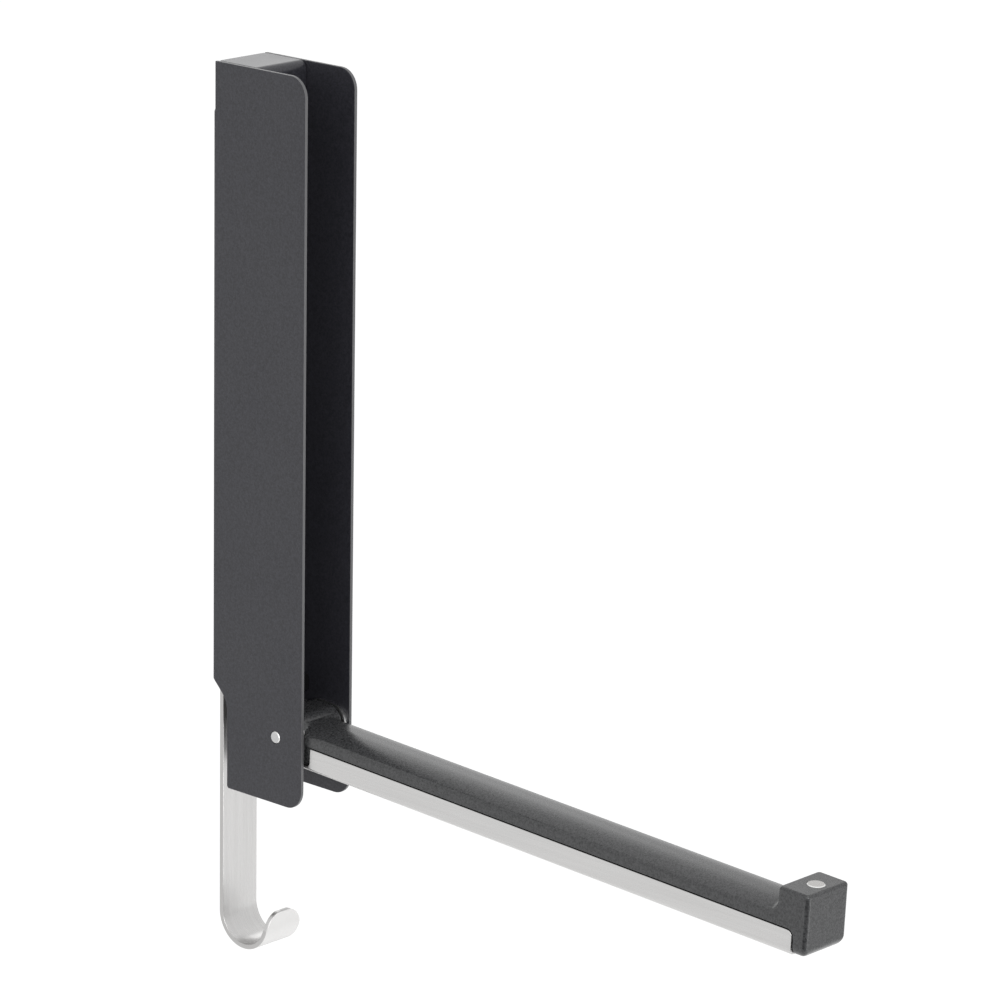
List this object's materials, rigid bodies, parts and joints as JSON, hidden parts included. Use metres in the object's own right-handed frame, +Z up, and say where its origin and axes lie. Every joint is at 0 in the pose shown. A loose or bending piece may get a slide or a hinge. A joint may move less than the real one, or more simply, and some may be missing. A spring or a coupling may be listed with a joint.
{
  "type": "folding wall hook",
  "caption": "Wall hook with a long arm that folds up into a slim sheet-metal housing, and a flat strap hook below it.",
  "frame": {"origin": "on the wall plane, midway between the two wall screw holes", "axes": "+Z up, +X right when facing the wall, +Y into the wall; the arm points to -Y"},
  "size_m": [0.028, 0.3023, 0.3575],
  "materials": {
    "powder_coat": "satin anthracite powder coat",
    "cover_coat": "satin anthracite powder coat",
    "strap_steel": "stainless, brushed along its length",
    "rail_steel": "stainless, brushed along its length",
    "rivet_steel": "plain turned",
    "pin_steel": "ground ends",
    "plate_steel": "plain",
    "screw_steel": "plain",
    "stop_plastic": "matte black moulding",
    "arm_plastic": "fine-textured dark grey moulding",
    "magnet_nickel": "nickel-plated disc"
  },
  "bodies": {
    "frame": {"housing": "powder_coat", "cover_plate": "cover_coat", "hook_strap": "strap_steel", "strap_rivet_lower": "rivet_steel", "strap_rivet_upper": "rivet_steel", "stop_block": "stop_plastic", "hinge_pin": "pin_steel"},
    "arm": {"arm_body": "arm_plastic", "arm_rail": "rail_steel", "rail_screw_root": "screw_steel", "rail_screw_middle": "screw_steel", "rail_screw_tip": "screw_steel", "magnet": "magnet_nickel", "pivot_bush": "plate_steel", "hinge_plate_left": "plate_steel", "hinge_plate_right": "plate_steel"}
  },
  "joints": [
    {"name": "arm_fold", "type": "hinge", "parent": "frame", "child": "arm", "pos_m": [0, -0.0355, -0.1348], "axis": [-1, 0, 0], "range_deg": [0, 91.6]}
  ]
}
